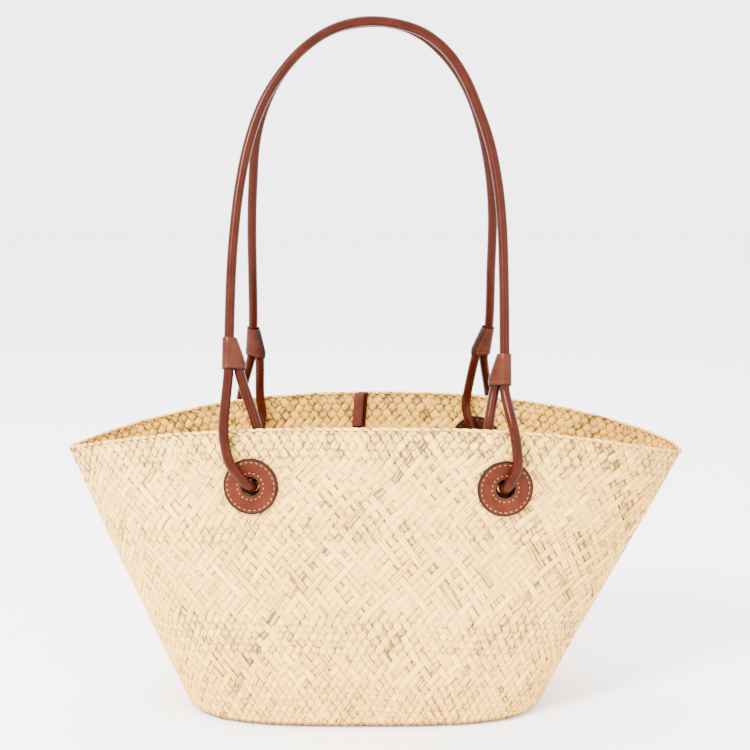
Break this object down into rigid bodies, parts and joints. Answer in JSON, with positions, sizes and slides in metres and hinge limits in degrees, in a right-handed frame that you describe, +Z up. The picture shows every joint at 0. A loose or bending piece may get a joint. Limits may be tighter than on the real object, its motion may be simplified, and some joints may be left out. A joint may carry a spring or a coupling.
{
  "type": "straw basket bag",
  "caption": "Plaited straw basket bag that widens from a boxy base to a pointed oval rim, with long leather cord handles run through sewn leather eyelets.",
  "frame": {"origin": "under the middle of the base, below the middle of the rim from front to back", "axes": "+Z up, +X along the rim to the right as seen from the front, the front faces -Y"},
  "size_m": [0.3714, 0.1424, 0.407],
  "materials": {
    "straw": "matt plaited palm straw, cream to pale gold",
    "leather": "smooth chestnut leather with a soft shine",
    "tan_leather": "smooth tan leather with dark painted edges",
    "thread": "waxed pale thread"
  },
  "bodies": {
    "root": {"basket": "straw", "outer_eyelet_front_left": "leather", "inner_eyelet_front_left": "leather", "sleeve_front_left": "tan_leather", "outer_eyelet_front_right": "leather", "inner_eyelet_front_right": "leather", "sleeve_front_right": "tan_leather", "outer_eyelet_back_left": "leather", "inner_eyelet_back_left": "leather", "sleeve_back_left": "tan_leather", "outer_eyelet_back_right": "leather", "inner_eyelet_back_right": "leather", "sleeve_back_right": "tan_leather", "handle_front": "leather", "handle_back": "leather", "inner_loop": "leather"}
  },
  "joints": []
}
